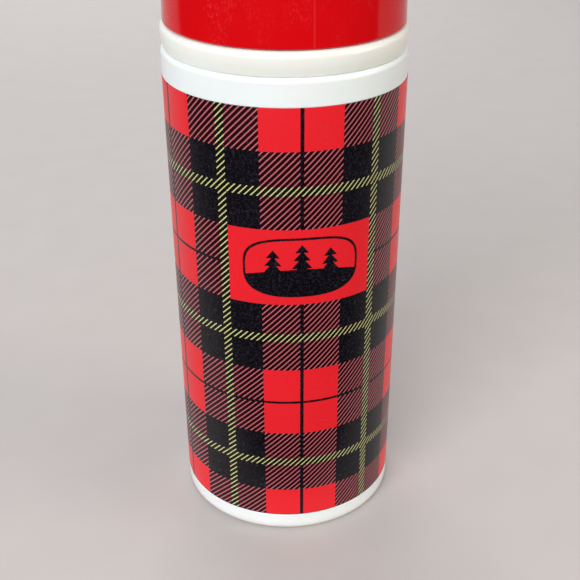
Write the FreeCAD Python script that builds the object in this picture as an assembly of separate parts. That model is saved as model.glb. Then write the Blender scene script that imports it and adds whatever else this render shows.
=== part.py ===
import FreeCAD, Part

# A pint vacuum flask: a steel jacket between a moulded base and two moulded collars, a silvered
# double-walled glass filler held between rubber seats inside it, a screw stopper in its mouth and
# a drinking cup that covers the mouth. Each real piece is one solid, or one group of like solids,
# in a file of its own. All of them are round about the Z axis. Z = 0 is the surface that the flask
# stands on, -Y is the front, and every size is in millimetres.

import math
import os

# ---- Overall sizes -------------------------------------------------------------------------
JACKET_RADIUS = 44.5          # outside of the steel jacket, the widest part of the flask
JACKET_HEIGHT = 173.0         # printed length of the jacket
BASE_HEIGHT = 8.5             # what shows of the base below the jacket
SHOULDER_HEIGHT = 9.6         # what shows of the shoulder collar above the jacket
BEAD_HEIGHT = 8.4             # rounded bead of the pouring collar, which the cup stands on
CUP_HEIGHT = 55.2

# ---- Clearances ----------------------------------------------------------------------------
BODY_GAP = 0.3                # between pieces that move past each other
FIT_GAP = 0.1                 # between pieces that are pushed or screwed together
RIB_SINK = 0.4                # how far the root of a rib is set into its wall

# ---- Roundings that several pieces share -----------------------------------------------------
FINE_ROUND = 0.3              # mould edges that meet another piece
EDGE_ROUND = 0.5              # free edges of rims, skirts and rubber rings
SOFT_ROUND = 1.0              # edges that fingers touch, and corners under the deck
INNER_ROUND = 1.6             # inside corners of cups and hollows

# ---- Jacket --------------------------------------------------------------------------------
JACKET_WALL = 0.35
JACKET_CURL = 1.6             # inward curl at the bottom edge, which carries the threaded ring
SEAM_WIDTH = 5.0              # folded seam down the back, inside the jacket
SEAM_THICKNESS = 0.5

# ---- Paper liner and soft rings ------------------------------------------------------------
LINER_GAP = 0.5               # from the liner to the glass inside it and the seam outside it
LINER_FLUTES = 40
POINTS_PER_FLUTE = 6
PAPER_THICKNESS = 0.6
SHOULDER_CUSHION_WIDTH = 9.0
SHOULDER_CUSHION_GAP = 1.0    # between the liner's top edge and the soft ring

# ---- Glass filler --------------------------------------------------------------------------
GLASS_WALL = 1.3
VACUUM_GAP = 3.9              # between the two flasks along the body
NECK_VACUUM_GAP = 2.0         # between the two flasks at the neck
NECK_BORE = 18.2              # inside radius of the glass neck
LINER_SPACE = 4.5             # between the outer flask and the jacket
LIP_DROP = 4.3                # from the top of the bead down to the glass lip
SHOULDER_BEND = 21.0          # inside bend of the inner flask between body and neck
NECK_BEND = 7.0               # bend where the shoulder turns up into the neck
KNUCKLE_BEND = 18.0           # bend where the body turns into the domed bottom
CROWN_BEND = 50.0             # the domed bottom itself
SHOULDER_DROP = 37.0          # from the lip down to where the shoulder bend starts
OUTER_SHOULDER_BEND = 24.0
OUTER_NECK_BEND = 6.0
OUTER_KNUCKLE_BEND = 20.0
OUTER_CROWN_BEND = 60.0
BOTTOM_VACUUM_GAP = 2.2       # between the two flasks on the axis at the bottom
TIP_LENGTH = 7.5              # glass tip where the filler was pumped out and sealed
TIP_RADIUS = 3.4
TIP_END_RADIUS = 1.4
TIP_FLOOR_GAP = 2.3           # from the base floor up to the rubber cap over the tip
SPACER_COUNT = 3
SPACER_RADIUS = 5.0
SPACER_RISE = 26.0            # from the start of the inner knuckle up to the spacers

# ---- Base ----------------------------------------------------------------------------------
BASE_INSET = 0.1              # the base is this much inside the jacket's outside
BASE_WALL = 2.0
BASE_FLOOR = 2.2
FOOT_HEIGHT = 2.0             # the foot ring lifts the floor by this much
FOOT_WIDTH = 5.0
BASE_EDGE_ROUND = 3.2
SPIGOT_HEIGHT = 13.0          # threaded part that stands up inside the jacket
BASE_RING_WALL = 2.1
BASE_RING_HEIGHT = 15.0
CUSHION_INNER = 11.0
CUSHION_OUTER = 28.0
CUSHION_HEIGHT = 19.0
TIP_CAP_WALL = 1.6

# ---- Collars -------------------------------------------------------------------------------
SHOULDER_INSET = 0.1          # the shoulder collar is this much inside the jacket's outside
SHOULDER_SKIRT = 10.5         # how far the shoulder collar reaches down into the jacket
COLLAR_WALL = 2.2
BEAD_INSET = 0.3              # the bead's widest line is this much inside the jacket's outside
BEAD_UNDERCUT = 0.8           # the bead curves in by this much towards the collar below it
BEAD_UNDERCUT_HEIGHT = 3.4
BEAD_CURVE = 20.0
BEAD_EDGE_ROUND = 1.3
SHOULDER_EDGE_ROUND = 1.0
SCREW_SKIRT = 8.0             # threaded skirt of the pouring collar, inside the shoulder collar
SCREW_RUN_OUT = 1.0           # the shoulder collar's threaded bore reaches this far below that skirt
CUP_SEAT_HEIGHT = 11.5        # threaded wall over the bead that the cup screws on to
DECK_RISE = 2.4               # from that wall up to the foot of the spout
SPOUT_HEIGHT = 9.3            # pouring spout over the deck
SPOUT_WALL = 3.4
SPOUT_WAIST = 1.0             # the spout is this much narrower half way up, under its pouring edge
SPOUT_CURVE = 4.0
SPOUT_MOUTH_ROUND = 1.4
SEAT_EDGE_ROUND = 2.2
GASKET_HEIGHT = 3.2           # rubber between the glass lip and the pouring collar
GASKET_SKIRT = 5.6            # how far that rubber reaches down round the lip
GASKET_END_GAP = 0.5          # from that rubber's lower edge to the end of its socket
GASKET_WALL = 2.2
MOUTH_STEP = 3.3              # the mouth's bore is this much wider than the glass neck

# ---- Stopper -------------------------------------------------------------------------------
STOPPER_WALL = 1.8
STOPPER_SEAL_HEIGHT = 2.2
STOPPER_SEAL_WIDTH = 2.2
STOPPER_PLUG_GAP = 1.3        # between the stopper's lower end and the glass neck
STOPPER_PLUG_LENGTH = 17.5
STOPPER_PLUG_TAPER = 1.2
STOPPER_PLUG_ROUND = 3.0
FLANGE_THICKNESS = 2.4
FLANGE_OVERHANG = 0.4         # how far the flange reaches past the spout
FLANGE_ROUND = 0.8
GRIP_INSET = 0.9              # the knob is this much narrower than the threaded wall below it
GRIP_HEIGHT = 9.6
GRIP_PLUG_DEPTH = 3.0
GRIP_DRAFT = 0.6              # the knob's top is this much narrower, in radius
GRIP_RIM = 4.4                # flat rim round the hollow of the knob's top
GRIP_RECESS = 1.2             # depth of that hollow
GRIP_RIB_COUNT = 24
GRIP_RIB_RADIUS = 0.9
GRIP_RIB_DROP = 2.2           # from the knob's top down to the round ends of its ribs

# ---- Cup -----------------------------------------------------------------------------------
CUP_INSET = 1.3               # the cup's rim is this much inside the jacket's outside
CUP_WALL = 1.8
CUP_TAPER = 1.8               # the top is this much narrower than the rim, in radius
CUP_CORNER = 7.0
CUP_RECESS = 1.2              # hollow of the end face inside its standing ring
CUP_RECESS_INSET = 11.0
CUP_RECESS_ROUND = 0.8
CUP_RIM_ROUND = 0.7
CUP_PASS_GAP = 0.4            # between the crests of the cup's thread and the collar's

# ---- Threads: pitch, turns, depth, width at the wall, width at the crest ---------------------
STOPPER_THREAD = {"pitch": 6.0, "turns": 1.5, "depth": 1.6, "root": 2.6, "crest": 1.2}
STOPPER_THREAD_PLAY = 0.5     # between each crest and the wall that it faces
CUP_THREAD = {"pitch": 4.0, "turns": 1.4, "depth": 1.4, "root": 2.2, "crest": 1.0}
SERVICE_THREAD = {"pitch": 3.0, "turns": 1.5, "depth": 0.8, "root": 1.3, "crest": 0.6}
SERVICE_THREAD_PLAY = 0.25
THREAD_LEAD_IN = 2.0          # from the start of a threaded wall to its rib
THREAD_START = 90.0           # every thread starts at the back, this many degrees round from +X

# ---- Levels and radii that follow from the sizes ---------------------------------------------
Z_JACKET = BASE_HEIGHT
Z_SHOULDER = Z_JACKET + JACKET_HEIGHT
Z_BEAD = Z_SHOULDER + SHOULDER_HEIGHT
Z_SEAT = Z_BEAD + BEAD_HEIGHT
Z_CUP = Z_SEAT + BODY_GAP
Z_FLOOR = FOOT_HEIGHT + BASE_FLOOR
Z_LIP = Z_SEAT - LIP_DROP
Z_GASKET = Z_LIP + GASKET_HEIGHT
Z_DECK = Z_SEAT + CUP_SEAT_HEIGHT
Z_SPOUT = Z_DECK + DECK_RISE + SPOUT_HEIGHT
Z_INNER_SHOULDER = Z_LIP - SHOULDER_DROP
Z_STOPPER_SEAL = Z_GASKET + BODY_GAP
Z_STOPPER_SHOULDER = Z_STOPPER_SEAL + STOPPER_SEAL_HEIGHT + BODY_GAP
Z_FLANGE = Z_SPOUT + BODY_GAP
Z_GRIP = Z_FLANGE + FLANGE_THICKNESS

JACKET_BORE = JACKET_RADIUS - JACKET_WALL
OUTER_FLASK = JACKET_BORE - LINER_SPACE
INNER_FLASK = OUTER_FLASK - GLASS_WALL - VACUUM_GAP - GLASS_WALL
LIP_RADIUS = NECK_BORE + GLASS_WALL + NECK_VACUUM_GAP + GLASS_WALL
GASKET_RADIUS = LIP_RADIUS + FIT_GAP + GASKET_WALL
SOCKET_RADIUS = GASKET_RADIUS + FIT_GAP
MOUTH_BORE = NECK_BORE + MOUTH_STEP
SPOUT_RADIUS = MOUTH_BORE + SPOUT_WALL
CUP_RADIUS = JACKET_RADIUS - CUP_INSET
CUP_BORE = CUP_RADIUS - CUP_WALL
CUP_SEAT_RADIUS = CUP_BORE - CUP_THREAD["depth"] - CUP_PASS_GAP - CUP_THREAD["depth"]
STOPPER_RADIUS = MOUTH_BORE - STOPPER_THREAD["depth"] - STOPPER_THREAD_PLAY
STOPPER_PLUG = NECK_BORE - STOPPER_PLUG_GAP
GRIP_RADIUS = STOPPER_RADIUS - GRIP_INSET
BASE_RING_BORE = JACKET_BORE - FIT_GAP - BASE_RING_WALL
SPIGOT_RADIUS = BASE_RING_BORE - SERVICE_THREAD["depth"] - SERVICE_THREAD_PLAY
SHOULDER_BORE = JACKET_BORE - FIT_GAP - COLLAR_WALL * 2
SCREW_RADIUS = SHOULDER_BORE - SERVICE_THREAD["depth"] - SERVICE_THREAD_PLAY

# The filler stands as low as its tip allows: from the cap's underside up to the inner flask's
# bottom, and on up to its knuckle, whose height over the bottom follows from the two bends.
Z_TIP = Z_FLOOR + TIP_FLOOR_GAP + TIP_CAP_WALL
Z_INNER_BOTTOM = Z_TIP + TIP_LENGTH + GLASS_WALL + BOTTOM_VACUUM_GAP + GLASS_WALL
KNUCKLE_OFFSET = math.sqrt((CROWN_BEND - KNUCKLE_BEND) ** 2 - (INNER_FLASK - KNUCKLE_BEND) ** 2)
Z_INNER_KNUCKLE = Z_INNER_BOTTOM + CROWN_BEND - KNUCKLE_OFFSET


# ---- Outlines and solids of revolution -------------------------------------------------------
def at(radius, height):
    """A point of an outline: so far from the axis, and so high."""
    return FreeCAD.Vector(radius, 0, height)


def rounded_outline(corners):
    """Closed outline through (radius, height, rounding) corners, each rounded by a tangent arc."""
    points = [at(corner[0], corner[1]) for corner in corners]
    starts = []
    ends = []
    arcs = []
    for index, corner in enumerate(corners):
        point = points[index]
        before = (points[index - 1] - point).normalize()
        after = (points[(index + 1) % len(points)] - point).normalize()
        rounding = corner[2]
        if rounding == 0:
            starts.append(point)
            ends.append(point)
            arcs.append(None)
            continue
        half_angle = before.getAngle(after) / 2
        middle = (before + after).normalize()
        centre = point + middle * (rounding / math.sin(half_angle))
        reach = rounding / math.tan(half_angle)
        starts.append(point + before * reach)
        ends.append(point + after * reach)
        arcs.append(centre - middle * rounding)
    edges = []
    for index in range(len(points)):
        if arcs[index] is not None:
            edges.append(Part.Arc(starts[index], arcs[index], ends[index]).toShape())
        following = starts[(index + 1) % len(points)]
        if (following - ends[index]).Length > 1e-6:
            edges.append(Part.LineSegment(ends[index], following).toShape())
    return edges


def spin(edges):
    """The solid that a closed outline sweeps when it turns once about the Z axis."""
    face = Part.Face(Part.Wire(edges))
    return face.revolve(FreeCAD.Vector(0, 0, 0), FreeCAD.Vector(0, 0, 1), 360)


def turned(corners):
    """Solid of revolution from rounded corners."""
    return spin(rounded_outline(corners))


def tube(inner, outer, bottom, top):
    """Plain ring or tube."""
    return turned([(inner, bottom, 0), (outer, bottom, 0), (outer, top, 0), (inner, top, 0)])


def thread_rib(wall, thread, start, inward):
    """Right-handed helical rib on a round wall, outwards, or inwards on a bore."""
    way = -1 if inward else 1
    foot = wall - way * RIB_SINK
    crest = wall + way * thread["depth"]
    half_root = thread["root"] / 2
    half_crest = thread["crest"] / 2
    corners = [at(foot, -half_root), at(crest, -half_crest), at(crest, half_crest), at(foot, half_root)]
    section = Part.makePolygon(corners + corners[:1])
    helix = Part.makeHelix(thread["pitch"], thread["pitch"] * thread["turns"], wall)
    rib = helix.makePipeShell([section], True, True)
    rib.rotate(FreeCAD.Vector(0, 0, 0), FreeCAD.Vector(0, 0, 1), THREAD_START)
    rib.translate(FreeCAD.Vector(0, 0, start))
    return rib


# ---- Glass -----------------------------------------------------------------------------------
def bottle_edges(flask, grown, top):
    """Outline of a bottle shape, grown outwards by a distance and closed at the axis.

    The neck and the shoulder are two arcs that touch, and the bottom is a knuckle arc that touches
    a wide crown arc. Growing keeps every arc's centre, so two such shapes make an even wall.
    """
    neck = flask["neck"] + grown
    body = flask["body"] + grown
    shoulder = flask["shoulder_bend"] + grown
    neck_bend = flask["neck_bend"] - grown
    knuckle = flask["knuckle_bend"] + grown
    crown = flask["crown_bend"] + grown
    shoulder_centre = at(body - shoulder, flask["z_shoulder"])
    across = (neck + neck_bend) - (body - shoulder)
    rise = math.sqrt((shoulder + neck_bend) ** 2 - across ** 2)
    neck_centre = at(neck + neck_bend, flask["z_shoulder"] + rise)
    lean = (neck_centre - shoulder_centre).normalize()
    touch = shoulder_centre + lean * shoulder
    shoulder_mid = shoulder_centre + (lean + at(1, 0)).normalize() * shoulder
    neck_mid = neck_centre - (lean + at(1, 0)).normalize() * neck_bend
    knuckle_centre = at(body - knuckle, flask["z_knuckle"])
    drop = math.sqrt((crown - knuckle) ** 2 - (body - knuckle) ** 2)
    crown_centre = at(0, flask["z_knuckle"] + drop)
    outward = (knuckle_centre - crown_centre).normalize()
    meet = crown_centre + outward * crown
    crown_mid = crown_centre + (outward + at(0, -1)).normalize() * crown
    knuckle_mid = knuckle_centre + (outward + at(1, 0)).normalize() * knuckle
    bottom = crown_centre + at(0, -1) * crown
    return [
        Part.LineSegment(at(0, top), at(neck, top)).toShape(),
        Part.LineSegment(at(neck, top), at(neck, neck_centre.z)).toShape(),
        Part.Arc(at(neck, neck_centre.z), neck_mid, touch).toShape(),
        Part.Arc(touch, shoulder_mid, at(body, flask["z_shoulder"])).toShape(),
        Part.LineSegment(at(body, flask["z_shoulder"]), at(body, flask["z_knuckle"])).toShape(),
        Part.Arc(at(body, flask["z_knuckle"]), knuckle_mid, meet).toShape(),
        Part.Arc(meet, crown_mid, bottom).toShape(),
        Part.LineSegment(bottom, at(0, top)).toShape(),
    ]


def lowest(flask, grown):
    """Height of a bottle shape's bottom on the axis."""
    crown = flask["crown_bend"] + grown
    knuckle = flask["knuckle_bend"] + grown
    body = flask["body"] + grown
    return flask["z_knuckle"] + math.sqrt((crown - knuckle) ** 2 - (body - knuckle) ** 2) - crown


def inner_flask_shape():
    """Sizes of the inner flask's inside surface."""
    return {
        "neck": NECK_BORE,
        "body": INNER_FLASK,
        "shoulder_bend": SHOULDER_BEND,
        "neck_bend": NECK_BEND,
        "knuckle_bend": KNUCKLE_BEND,
        "crown_bend": CROWN_BEND,
        "z_shoulder": Z_INNER_SHOULDER,
        "z_knuckle": Z_INNER_KNUCKLE,
    }


def outer_flask_shape():
    """Sizes of the outer flask's outside surface, set round the inner flask."""
    shape = {
        "neck": LIP_RADIUS,
        "body": OUTER_FLASK,
        "shoulder_bend": OUTER_SHOULDER_BEND,
        "neck_bend": OUTER_NECK_BEND,
        "knuckle_bend": OUTER_KNUCKLE_BEND,
        "crown_bend": OUTER_CROWN_BEND,
        "z_shoulder": Z_INNER_SHOULDER,
        "z_knuckle": Z_INNER_KNUCKLE,
    }
    inner_bottom = lowest(inner_flask_shape(), GLASS_WALL)
    wanted_bottom = inner_bottom - BOTTOM_VACUUM_GAP - GLASS_WALL
    shape["z_knuckle"] += wanted_bottom - lowest(shape, 0)
    return shape


def filler_inner_flask():
    """Inner flask with the lip where the two flasks are melted together."""
    shape = inner_flask_shape()
    z_lip_foot = Z_LIP - GLASS_WALL
    shell = spin(bottle_edges(shape, GLASS_WALL, Z_LIP - GLASS_WALL / 2))
    lip = turned([
        (0, z_lip_foot, 0),
        (LIP_RADIUS, z_lip_foot, 0),
        (LIP_RADIUS, Z_LIP, GLASS_WALL / 2),
        (0, Z_LIP, 0),
    ])
    hollow = spin(bottle_edges(shape, 0, Z_LIP + GLASS_WALL))
    return shell.fuse(lip).cut(hollow).removeSplitter()


def filler_outer_flask():
    """Outer flask, closed below by the sealed pumping tip."""
    shape = outer_flask_shape()
    z_top = Z_LIP - GLASS_WALL
    z_bottom = lowest(shape, 0)
    shell = spin(bottle_edges(shape, 0, z_top))
    hollow = spin(bottle_edges(shape, -GLASS_WALL, z_top + GLASS_WALL))
    tip = turned([
        (0, z_bottom - TIP_LENGTH, 0),
        (TIP_END_RADIUS, z_bottom - TIP_LENGTH, TIP_END_RADIUS / 2),
        (TIP_RADIUS, z_bottom + GLASS_WALL / 2, 0),
        (0, z_bottom + GLASS_WALL / 2, 0),
    ])
    return shell.fuse(tip).cut(hollow).removeSplitter()


def filler_spacers():
    """Pads in the vacuum gap that steady the inner flask."""
    gap = tube(INNER_FLASK + GLASS_WALL, OUTER_FLASK - GLASS_WALL, 0, Z_LIP)
    height = Z_INNER_KNUCKLE + SPACER_RISE
    pads = []
    for index in range(SPACER_COUNT):
        turn = math.radians(90 + index * 360 / SPACER_COUNT)
        way = FreeCAD.Vector(math.cos(turn), math.sin(turn), 0)
        bar = Part.makeCylinder(SPACER_RADIUS, JACKET_RADIUS, FreeCAD.Vector(0, 0, height), way)
        pads.append(bar.common(gap).Solids[0])
    return Part.makeCompound(pads)


# ---- Jacket and what stands between it and the glass -------------------------------------------
def outer_jacket():
    """Steel tube, curled in at the bottom, with its folded seam inside at the back."""
    wall = tube(JACKET_BORE, JACKET_RADIUS, Z_JACKET, Z_SHOULDER)
    curl = tube(JACKET_BORE - JACKET_CURL, JACKET_RADIUS, Z_JACKET, Z_JACKET + JACKET_WALL)
    seam_bottom = Z_JACKET + JACKET_WALL + BASE_RING_HEIGHT + FIT_GAP * 2
    seam_top = Z_SHOULDER - SHOULDER_SKIRT - FIT_GAP
    fold = tube(JACKET_BORE - SEAM_THICKNESS, JACKET_RADIUS, seam_bottom, seam_top)
    strip = Part.makeBox(SEAM_WIDTH, JACKET_RADIUS, seam_top - seam_bottom)
    strip.translate(FreeCAD.Vector(-SEAM_WIDTH / 2, 0, seam_bottom))
    return wall.fuse([curl, fold.common(strip)]).removeSplitter()


def paper_liner():
    """Sleeve of corrugated paper round the glass."""
    inner = OUTER_FLASK + LINER_GAP
    outer = JACKET_BORE - SEAM_THICKNESS - LINER_GAP
    wave = (outer - inner - PAPER_THICKNESS) / 2
    middle = (outer + inner) / 2
    bottom = Z_JACKET + JACKET_WALL + BASE_RING_HEIGHT + LINER_GAP * 2
    top = Z_INNER_SHOULDER
    steps = LINER_FLUTES * POINTS_PER_FLUTE
    walls = []
    for offset in (PAPER_THICKNESS / 2, -PAPER_THICKNESS / 2):
        points = []
        for step in range(steps):
            turn = math.tau * step / steps
            radius = middle + offset + wave * math.cos(LINER_FLUTES * turn)
            points.append(FreeCAD.Vector(radius * math.cos(turn), radius * math.sin(turn), bottom))
        curve = Part.BSplineCurve()
        curve.interpolate(points, PeriodicFlag=True)
        walls.append(Part.Face(Part.Wire([curve.toShape()])))
    sheet = walls[0].cut(walls[1])
    return sheet.extrude(FreeCAD.Vector(0, 0, top - bottom)).Solids[0]


def shoulder_cushion():
    """Soft ring that centres the filler under the shoulder collar."""
    top = Z_SHOULDER - SHOULDER_SKIRT - FIT_GAP
    bottom = Z_INNER_SHOULDER + SHOULDER_CUSHION_GAP
    ring = tube(OUTER_FLASK - SHOULDER_CUSHION_WIDTH, JACKET_BORE - SEAM_THICKNESS - FIT_GAP, bottom, top)
    return ring.cut(spin(bottle_edges(outer_flask_shape(), 0, Z_LIP - GLASS_WALL)))


# ---- Base ------------------------------------------------------------------------------------
def jacket_bottom_ring():
    """Threaded ring inside the jacket's bottom edge, which the base screws into."""
    bottom = Z_JACKET + JACKET_WALL
    ring = tube(BASE_RING_BORE, JACKET_BORE - FIT_GAP, bottom, bottom + BASE_RING_HEIGHT)
    rib = thread_rib(BASE_RING_BORE, SERVICE_THREAD, bottom + THREAD_LEAD_IN, True)
    return ring.fuse(rib).removeSplitter()


def base_cup():
    """Moulded base: a foot ring, a floor and a threaded spigot inside the jacket."""
    radius = JACKET_RADIUS - BASE_INSET
    top = Z_JACKET - FIT_GAP
    z_spigot = Z_JACKET + SPIGOT_HEIGHT
    foot_inner = radius - BASE_EDGE_ROUND - FOOT_WIDTH
    shell = turned([
        (0, FOOT_HEIGHT, 0),
        (foot_inner, FOOT_HEIGHT, 0),
        (foot_inner, 0, EDGE_ROUND),
        (radius, 0, BASE_EDGE_ROUND),
        (radius, top, FINE_ROUND),
        (SPIGOT_RADIUS, top, 0),
        (SPIGOT_RADIUS, z_spigot, EDGE_ROUND),
        (SPIGOT_RADIUS - BASE_WALL, z_spigot, EDGE_ROUND),
        (SPIGOT_RADIUS - BASE_WALL, Z_FLOOR, INNER_ROUND),
        (0, Z_FLOOR, 0),
    ])
    start = Z_JACKET + JACKET_WALL + THREAD_LEAD_IN + SERVICE_THREAD["pitch"] / 2
    rib = thread_rib(SPIGOT_RADIUS, SERVICE_THREAD, start, False)
    return shell.fuse(rib).removeSplitter()


def base_cushion():
    """Rubber seat under the filler, shaped to the glass and open in the middle for the tip."""
    top = Z_FLOOR + CUSHION_HEIGHT
    block = turned([
        (CUSHION_INNER, Z_FLOOR, 0),
        (CUSHION_OUTER, Z_FLOOR, SOFT_ROUND),
        (CUSHION_OUTER, top, SOFT_ROUND),
        (CUSHION_INNER, top, 0),
    ])
    return block.cut(spin(bottle_edges(outer_flask_shape(), 0, Z_LIP - GLASS_WALL)))


def seal_tip_cap():
    """Rubber cap over the sealed glass tip."""
    z_bottom = lowest(outer_flask_shape(), 0)
    radius = TIP_RADIUS + TIP_CAP_WALL
    cap = turned([
        (0, z_bottom - TIP_LENGTH - TIP_CAP_WALL, 0),
        (radius, z_bottom - TIP_LENGTH - TIP_CAP_WALL, SOFT_ROUND),
        (radius, z_bottom, 0),
        (0, z_bottom, 0),
    ])
    return cap.cut(filler_outer_flask())


# ---- Collars ---------------------------------------------------------------------------------
def shoulder_collar():
    """Moulded ring on the jacket's top edge, threaded inside for the pouring collar."""
    radius = JACKET_RADIUS - SHOULDER_INSET
    skirt = JACKET_BORE - FIT_GAP
    z_skirt = Z_SHOULDER - SHOULDER_SKIRT
    z_thread = Z_BEAD - SCREW_SKIRT - SCREW_RUN_OUT
    ring = turned([
        (SHOULDER_BORE, z_thread, 0),
        (skirt - COLLAR_WALL, z_thread, 0),
        (skirt - COLLAR_WALL, z_skirt, EDGE_ROUND),
        (skirt, z_skirt, EDGE_ROUND),
        (skirt, Z_SHOULDER, 0),
        (radius, Z_SHOULDER, FINE_ROUND),
        (radius, Z_BEAD, SHOULDER_EDGE_ROUND),
        (SHOULDER_BORE, Z_BEAD, FINE_ROUND),
    ])
    rib = thread_rib(SHOULDER_BORE, SERVICE_THREAD, z_thread + THREAD_LEAD_IN, True)
    return ring.fuse(rib).removeSplitter()


def pouring_collar():
    """Moulded mouth: a screw skirt, the bead, the cup's thread, and the spout with its own."""
    bead = JACKET_RADIUS - BEAD_INSET
    z_screw = Z_BEAD - SCREW_SKIRT
    wall = CUP_SEAT_RADIUS - COLLAR_WALL
    socket_wall = SOCKET_RADIUS + COLLAR_WALL
    spout_foot = SPOUT_RADIUS + DECK_RISE
    z_under_deck = Z_DECK - COLLAR_WALL
    shell = turned([
        (SCREW_RADIUS - COLLAR_WALL, z_screw, 0),
        (SCREW_RADIUS, z_screw, FINE_ROUND),
        (SCREW_RADIUS, Z_BEAD, 0),
        (bead - BEAD_UNDERCUT, Z_BEAD, FINE_ROUND),
        (bead, Z_BEAD + BEAD_UNDERCUT_HEIGHT, BEAD_CURVE),
        (bead, Z_SEAT, BEAD_EDGE_ROUND),
        (CUP_SEAT_RADIUS, Z_SEAT, FINE_ROUND),
        (CUP_SEAT_RADIUS, Z_DECK, SEAT_EDGE_ROUND),
        (spout_foot, Z_DECK, DECK_RISE),
        (SPOUT_RADIUS - SPOUT_WAIST, Z_SPOUT - SPOUT_HEIGHT / 2, SPOUT_CURVE),
        (SPOUT_RADIUS, Z_SPOUT, SOFT_ROUND),
        (MOUTH_BORE, Z_SPOUT, SPOUT_MOUTH_ROUND),
        (MOUTH_BORE, Z_GASKET, 0),
        (SOCKET_RADIUS, Z_GASKET, 0),
        (SOCKET_RADIUS, Z_LIP - GASKET_SKIRT, EDGE_ROUND),
        (socket_wall, Z_LIP - GASKET_SKIRT, EDGE_ROUND),
        (socket_wall, z_under_deck, SOFT_ROUND),
        (wall, z_under_deck, SOFT_ROUND),
        (wall, Z_BEAD + BEAD_HEIGHT / 2, 0),
        (SCREW_RADIUS - COLLAR_WALL, Z_BEAD, 0),
    ])
    pitch_up = SERVICE_THREAD["pitch"] / 2
    screw_start = z_screw - SCREW_RUN_OUT + THREAD_LEAD_IN + pitch_up
    screw_rib = thread_rib(SCREW_RADIUS, SERVICE_THREAD, screw_start, False)
    cup_rib = thread_rib(CUP_SEAT_RADIUS, CUP_THREAD, Z_SEAT + THREAD_LEAD_IN, False)
    mouth_rib = thread_rib(MOUTH_BORE, STOPPER_THREAD, stopper_thread_start(), True)
    return shell.fuse([screw_rib, cup_rib, mouth_rib]).removeSplitter()


def stopper_thread_start():
    """Height where the mouth's thread starts."""
    return Z_STOPPER_SHOULDER + THREAD_LEAD_IN


def neck_gasket():
    """Rubber ring that seats the glass lip under the pouring collar."""
    bottom = Z_LIP - GASKET_SKIRT + GASKET_END_GAP
    return turned([
        (LIP_RADIUS + FIT_GAP, bottom, 0),
        (GASKET_RADIUS, bottom, EDGE_ROUND),
        (GASKET_RADIUS, Z_GASKET, 0),
        (NECK_BORE + FIT_GAP, Z_GASKET, EDGE_ROUND),
        (NECK_BORE + FIT_GAP, Z_LIP, EDGE_ROUND),
        (LIP_RADIUS + FIT_GAP, Z_LIP, 0),
    ])


# ---- Stopper ---------------------------------------------------------------------------------
def stopper_shell():
    """Hollow moulded stopper: a plug in the glass neck, a threaded wall and a flange."""
    z_bottom = Z_STOPPER_SHOULDER - STOPPER_PLUG_LENGTH
    plug_end = STOPPER_PLUG - STOPPER_PLUG_TAPER
    inner_wall = STOPPER_RADIUS - STOPPER_WALL
    plug_inner = STOPPER_PLUG - STOPPER_WALL
    flange = SPOUT_RADIUS + FLANGE_OVERHANG
    shell = turned([
        (0, z_bottom, 0),
        (plug_end, z_bottom, STOPPER_PLUG_ROUND),
        (STOPPER_PLUG, Z_STOPPER_SHOULDER, 0),
        (STOPPER_RADIUS, Z_STOPPER_SHOULDER, FINE_ROUND),
        (STOPPER_RADIUS, Z_FLANGE, FINE_ROUND),
        (flange, Z_FLANGE, FLANGE_ROUND),
        (flange, Z_GRIP, SOFT_ROUND),
        (inner_wall, Z_GRIP, 0),
        (inner_wall, Z_STOPPER_SHOULDER + STOPPER_WALL, 0),
        (plug_inner, Z_STOPPER_SHOULDER + STOPPER_WALL, 0),
        (plug_end - STOPPER_WALL, z_bottom + STOPPER_WALL, INNER_ROUND),
        (0, z_bottom + STOPPER_WALL, 0),
    ])
    start = stopper_thread_start() + STOPPER_THREAD["pitch"] / 2
    rib = thread_rib(STOPPER_RADIUS, STOPPER_THREAD, start, False)
    return shell.fuse(rib).removeSplitter()


def stopper_foam():
    """Foam that fills the hollow of the stopper."""
    z_bottom = Z_STOPPER_SHOULDER - STOPPER_PLUG_LENGTH + STOPPER_WALL
    plug_end = STOPPER_PLUG - STOPPER_PLUG_TAPER - STOPPER_WALL - FIT_GAP
    plug_inner = STOPPER_PLUG - STOPPER_WALL - FIT_GAP
    step = Z_STOPPER_SHOULDER + STOPPER_WALL
    wall = STOPPER_RADIUS - STOPPER_WALL - FIT_GAP
    top = Z_GRIP - GRIP_PLUG_DEPTH
    return turned([
        (0, z_bottom, 0),
        (plug_end, z_bottom, INNER_ROUND),
        (plug_inner, step, 0),
        (wall, step, 0),
        (wall, top, 0),
        (0, top, 0),
    ])


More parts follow.
